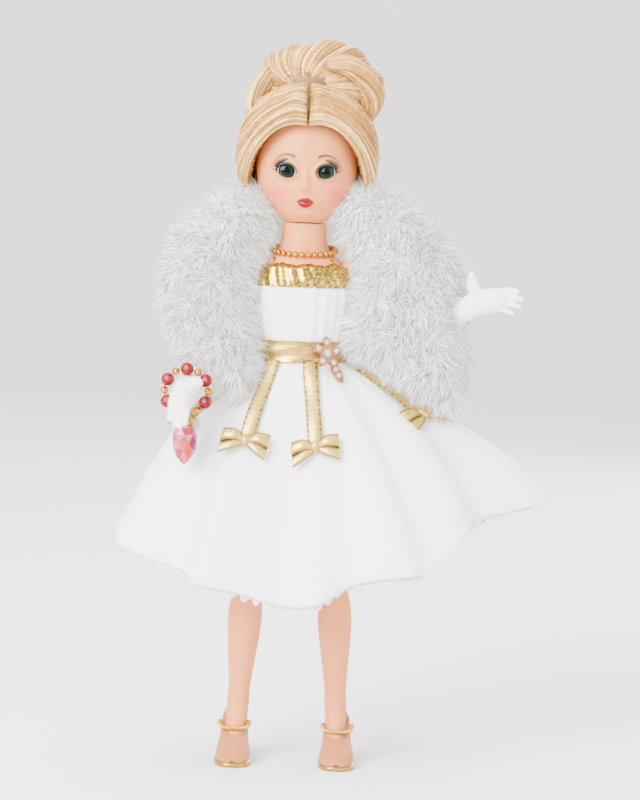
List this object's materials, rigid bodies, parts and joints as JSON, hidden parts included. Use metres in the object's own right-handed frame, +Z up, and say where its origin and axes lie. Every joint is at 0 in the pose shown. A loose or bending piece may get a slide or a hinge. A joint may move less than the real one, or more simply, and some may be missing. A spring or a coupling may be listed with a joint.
{
  "type": "porcelain doll",
  "caption": "Jointed porcelain fashion doll with sleep eyes in a flared evening dress, fur stole, gloves, bead bag and pumps.",
  "frame": {"origin": "on the floor, midway between the two shoes under the neck axis", "axes": "+X the doll's own left, -Y the way the doll faces, +Z up"},
  "size_m": [0.1574, 0.1194, 0.2709],
  "materials": {
    "skin": "matte bisque flesh tint",
    "eyes": "glossy",
    "metal_works": "plain",
    "lashes": "matte",
    "elastic": "matte",
    "hair": "silky fibre",
    "fur": "long pile faux fur",
    "satin": "white satin",
    "net": "white net and lace",
    "lame": "gold sparkle lame",
    "gold_ribbon": "woven gold ribbon",
    "gold_beads": "metallised gold",
    "gold_metal": "plated",
    "rose_gold": "plated",
    "rhinestone": "faceted",
    "red_bead": "faceted translucent",
    "crystal": "faceted iridescent",
    "glove": "sheer knit",
    "shoe": "tan satin",
    "shoe_sole": "gold"
  },
  "bodies": {
    "torso": {"torso_front": "skin", "torso_back": "skin", "shoulder_elastic": "elastic", "hip_elastic": "elastic", "neck_elastic": "elastic", "bodice": "satin", "bodice_band": "lame", "shoulder_straps": "gold_beads", "belt": "lame", "brooch_setting": "rose_gold", "brooch_stones": "rhinestone", "skirt": "satin", "petticoat": "net", "petticoat_lace": "net", "back_snaps": "metal_works", "ribbon_bows": "gold_ribbon", "necklace_beads": "gold_beads", "necklace_wire": "gold_metal", "stole_back": "fur", "streamer_1": "gold_ribbon", "streamer_2": "gold_ribbon", "streamer_3": "gold_ribbon", "streamer_4": "gold_ribbon", "streamer_5": "gold_ribbon", "streamer_6": "gold_ribbon", "streamer_7": "gold_ribbon", "streamer_8": "gold_ribbon"},
    "head": {"head_shell": "skin", "head_crown": "skin", "neck_button": "metal_works", "wig_base": "hair", "wig_bun": "hair", "earrings": "gold_metal"},
    "eyes": {"eyeball_right": "eyes", "eyeball_left": "eyes", "eye_rocker": "metal_works", "eyelashes": "lashes"},
    "arm_right": {"arm_right": "skin", "glove_right": "glove", "stole_right": "fur"},
    "arm_left": {"arm_left": "skin", "glove_left": "glove", "stole_left": "fur"},
    "bag": {"bag_red_beads": "red_bead", "bag_gold_beads": "gold_beads", "bag_wire": "gold_metal", "bag_cap": "gold_metal", "bag_crystal": "crystal"},
    "thigh_right": {"thigh_right": "skin", "knee_pin_right": "metal_works"},
    "thigh_left": {"thigh_left": "skin", "knee_pin_left": "metal_works"},
    "calf_right": {"calf_right": "skin", "shoe_upper_right": "shoe", "shoe_sole_right": "shoe_sole", "shoe_trim_right": "gold_ribbon"},
    "calf_left": {"calf_left": "skin", "shoe_upper_left": "shoe", "shoe_sole_left": "shoe_sole", "shoe_trim_left": "gold_ribbon"}
  },
  "joints": [
    {"name": "neck_turn", "type": "hinge", "parent": "torso", "child": "head", "pos_m": [0, 0, 0.20315], "axis": [0, 0, 1], "range_deg": [-80, 80]},
    {"name": "eye_tilt", "type": "hinge", "parent": "head", "child": "eyes", "pos_m": [0, -0.01167, 0.2219], "axis": [1, 0, 0], "range_deg": [0, 42]},
    {"name": "shoulder_right_swing", "type": "hinge", "parent": "torso", "child": "arm_right", "pos_m": [-0.014, 0, 0.184], "axis": [-1, 0, 0], "range_deg": [-1, 60]},
    {"name": "shoulder_left_swing", "type": "hinge", "parent": "torso", "child": "arm_left", "pos_m": [0.014, 0, 0.184], "axis": [-1, 0, 0], "range_deg": [-10, 60]},
    {"name": "bag_swing", "type": "hinge", "parent": "arm_right", "child": "bag", "pos_m": [-0.0406, -0.0275, 0.141], "axis": [0, 1, 0], "range_deg": [-8, 20]},
    {"name": "hip_right_swing", "type": "hinge", "parent": "torso", "child": "thigh_right", "pos_m": [-0.013, 0, 0.138], "axis": [-1, 0, 0], "range_deg": [-12, 15]},
    {"name": "hip_left_swing", "type": "hinge", "parent": "torso", "child": "thigh_left", "pos_m": [0.013, 0, 0.138], "axis": [-1, 0, 0], "range_deg": [-12, 15]},
    {"name": "knee_right_bend", "type": "hinge", "parent": "thigh_right", "child": "calf_right", "pos_m": [-0.01601, 0, 0.073], "axis": [1, 0, 0], "range_deg": [0, 60]},
    {"name": "knee_left_bend", "type": "hinge", "parent": "thigh_left", "child": "calf_left", "pos_m": [0.01601, 0, 0.073], "axis": [1, 0, 0], "range_deg": [0, 60]}
  ]
}
